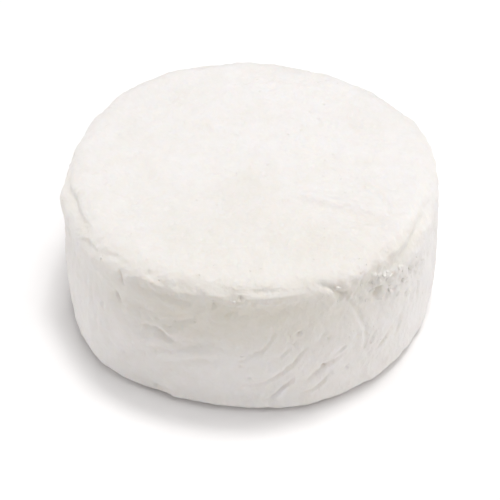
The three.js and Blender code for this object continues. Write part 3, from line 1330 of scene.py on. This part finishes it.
CRUMBS = Scatter(
    name="curd_crumbs",
    spots=(
        Spot(turn=322, height_mm=30, round_by=20, up_mm=10),
        Spot(turn=350, height_mm=38, round_by=12, up_mm=8),
        Spot(turn=216, height_mm=43, round_by=8, up_mm=2),
    ),
    per_cm2=11,
    everywhere_per_cm2=0.15,
    smallest_mm=0.5,
    largest_mm=1.3,
    flat=0.7,
    curl=0.0,
    sunk=0.3,
    seed=8,
    placed=(
        Bit(307, 8.5, 1.0), Bit(298.5, 11, 0.9), Bit(309.5, 21, 1.1), Bit(311, 17, 1.0),
        Bit(351, 42.5, 1.3), Bit(356, 40.5, 1.2), Bit(347, 44.5, 1.3), Bit(189, 41.5, 1.4),
        Bit(192, 38, 1.2), Bit(265, 43.2, 2.0), Bit(216.5, 43.6, 1.6), Bit(220, 42.4, 1.6),
        Bit(219.6, 43.2, 1.0), Bit(291, 40.8, 1.2), Bit(289.5, 40.4, 0.9), Bit(358, 43.5, 1.5),
        Bit(354, 45, 1.2), Bit(1, 40, 1.1), Bit(192, 20, 1.3),
    ),
)


# ---- The studio ----


@dataclass(frozen=True)
class SoftBox:
    """A square studio light that points at the cheese.

    Attributes:
        name: its name.
        turn: the side it stands on, in degrees.
        rise: its angle above the floor, in degrees.
        distance: from the cheese.
        size: its side.
        power: in watts.
    """

    name: str
    turn: float
    rise: float
    distance: float
    size: float
    power: float

    def build(self, aim: Vector) -> bpy.types.Object:
        """Makes the light, turned to the aim."""
        light = bpy.data.lights.new(self.name, "AREA")
        light.shape = "SQUARE"
        light.size = self.size
        light.energy = self.power
        made = new_object(self.name, light)
        turn, rise = self.turn * DEGREE, self.rise * DEGREE
        away = Vector((math.cos(turn) * math.cos(rise), math.sin(turn) * math.cos(rise), math.sin(rise)))
        made.location = aim + away * self.distance
        made.rotation_mode = "QUATERNION"
        made.rotation_quaternion = away.to_track_quat("Z", "Y")
        return made


@dataclass
class Studio:
    """The floor, the lights and the camera.

    Attributes:
        floor_size: the floor's side.
        floor_white: how much red, green and blue light the floor sends back.
        floor_cloud: what its darkest places send back, as a share of that.
        backdrop: how bright the surroundings look to the camera.
        elevation: the camera's angle above the floor, in degrees.
        distance: from the camera to the point it looks at.
        lens_mm: its focal length.
        aim_share: height of that point as a share of the cheese's height.
        aside_mm: how far the point is to the right of the cheese's middle.
        boxes: the lights.
    """

    floor_size: float = 6.0
    floor_white: tuple[float, float, float] = (0.95, 0.95 * 0.985, 0.95 * 0.982)
    floor_cloud: float = 0.995
    backdrop: float = 1.1
    elevation: float = 41.0
    distance: float = 0.650
    lens_mm: float = 154.8
    aim_share: float = 0.306
    aside_mm: float = -0.2
    boxes: tuple[SoftBox, ...] = (
        SoftBox("key", turn=35, rise=80, distance=1.6, size=0.3, power=8.0),
        SoftBox("back key", turn=95, rise=79, distance=1.6, size=0.3, power=4.6),
        SoftBox("right key", turn=35, rise=63, distance=1.6, size=0.3, power=3.9),
        SoftBox("front softbox", turn=290, rise=65, distance=1.6, size=0.9, power=7.6),
        SoftBox("high back softbox", turn=110, rise=65, distance=1.6, size=0.9, power=1.6),
        SoftBox("right fill", turn=335, rise=15, distance=1.6, size=0.9, power=6.8),
        SoftBox("left back fill", turn=155, rise=15, distance=1.6, size=0.9, power=6.5),
        SoftBox("left fill", turn=200, rise=15, distance=1.6, size=0.9, power=6.1),
        SoftBox("right back fill", turn=20, rise=15, distance=1.6, size=0.9, power=2.4),
        SoftBox("front fill", turn=290, rise=40, distance=1.6, size=0.9, power=1.2),
    )

    def floor(self) -> bpy.types.Object:
        """The plain pale floor, at the level that the cheese stands on."""
        half = self.floor_size / 2
        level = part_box(WHEEL_NODE)[0].z
        corners = [(-half, -half, level), (half, -half, level), (half, half, level), (-half, half, level)]
        mesh = bpy.data.meshes.new("floor")
        mesh.from_pydata(corners, [], [(0, 1, 2, 3)])
        material = bpy.data.materials.new("white table")
        material.use_nodes = True
        bench = Bench(material.node_tree)
        shader = material.node_tree.nodes["Principled BSDF"]
        cloud = bench.noise(object_place(bench), size_mm=400.0, seed=40.0)
        white = (*self.floor_white, 1.0)
        shade = (*(part * self.floor_cloud for part in self.floor_white), 1.0)
        bench.put(shader.inputs["Base Color"], bench.mix(cloud * 0.5 + 0.5, shade, white))
        bench.put(shader.inputs["Roughness"], 0.9)
        bench.put(shader.inputs["Specular IOR Level"], 0.0)
        mesh.materials.append(material)
        made = new_object("floor", mesh)
        return made

    def surroundings(self) -> None:
        """Surroundings that give no light and look plain white to the camera."""
        world = bpy.data.worlds.new("white studio")
        bpy.context.scene.world = world
        world.use_nodes = True
        bench = Bench(world.node_tree)
        background = world.node_tree.nodes["Background"]
        seen = bench.result("ShaderNodeLightPath", output="Is Camera Ray")
        bench.put(background.inputs["Strength"], seen * self.backdrop)
        bench.put(background.inputs["Color"], (1, 1, 1, 1))

    def camera(self) -> bpy.types.Object:
        """The camera, looking down at the front of the cheese."""
        low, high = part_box(WHEEL_NODE)
        middle = (low + high) / 2
        level = low.z + (high.z - low.z) * self.aim_share
        aim = Vector((middle.x + self.aside_mm * MM, middle.y, level))
        rise = self.elevation * DEGREE
        back = Vector((0, -math.cos(rise), math.sin(rise)))
        data = bpy.data.cameras.new("camera")
        data.lens = self.lens_mm
        made = new_object("camera", data)
        made.location = aim + back * self.distance
        made.rotation_mode = "QUATERNION"
        made.rotation_quaternion = back.to_track_quat("Z", "Y")
        bpy.context.scene.camera = made
        return made

    def build(self) -> None:
        """Makes the whole studio."""
        self.floor()
        self.surroundings()
        aim = (CAD_BOX[0] + CAD_BOX[1]) / 2
        for box in self.boxes:
            box.build(aim)
        self.camera()
        bpy.context.scene.view_settings.view_transform = "Standard"


def report(piece: bpy.types.Object) -> None:
    """Logs a finished piece's size."""
    faces = sum(len(polygon.vertices) - 2 for polygon in piece.data.polygons)
    LOG.info("%s: %d triangles", piece.name, faces)


def main() -> None:
    """Builds the studio and the cheese."""
    logging.basicConfig(level=logging.INFO, format="%(name)s: %(message)s", stream=sys.stdout)
    groups = {"grain": BloomGrain().group(), "mottle": BloomMottle().group()}
    Studio().build()
    rind = Rind()
    whole = rind.build(MouldFinish("bloomy rind", thin_and_shade_at="thin_bloom").material(groups))
    report(whole)
    flaky = MouldFinish("flaky rind", (0.79, 0.76, 0.735, 1.0), subsurface=0.0, grains=0.3, pinholes=0.0)
    curdy = MouldFinish("dry curd", (0.81, 0.78, 0.755, 1.0), subsurface=0.0, grains=0.2, pinholes=0.0)
    for scatter, finish in ((FLAKES, flaky), (CRUMBS, curdy)):
        report(scatter.build(rind, whole, finish.material(groups)))


if __name__ == "__main__":
    main()
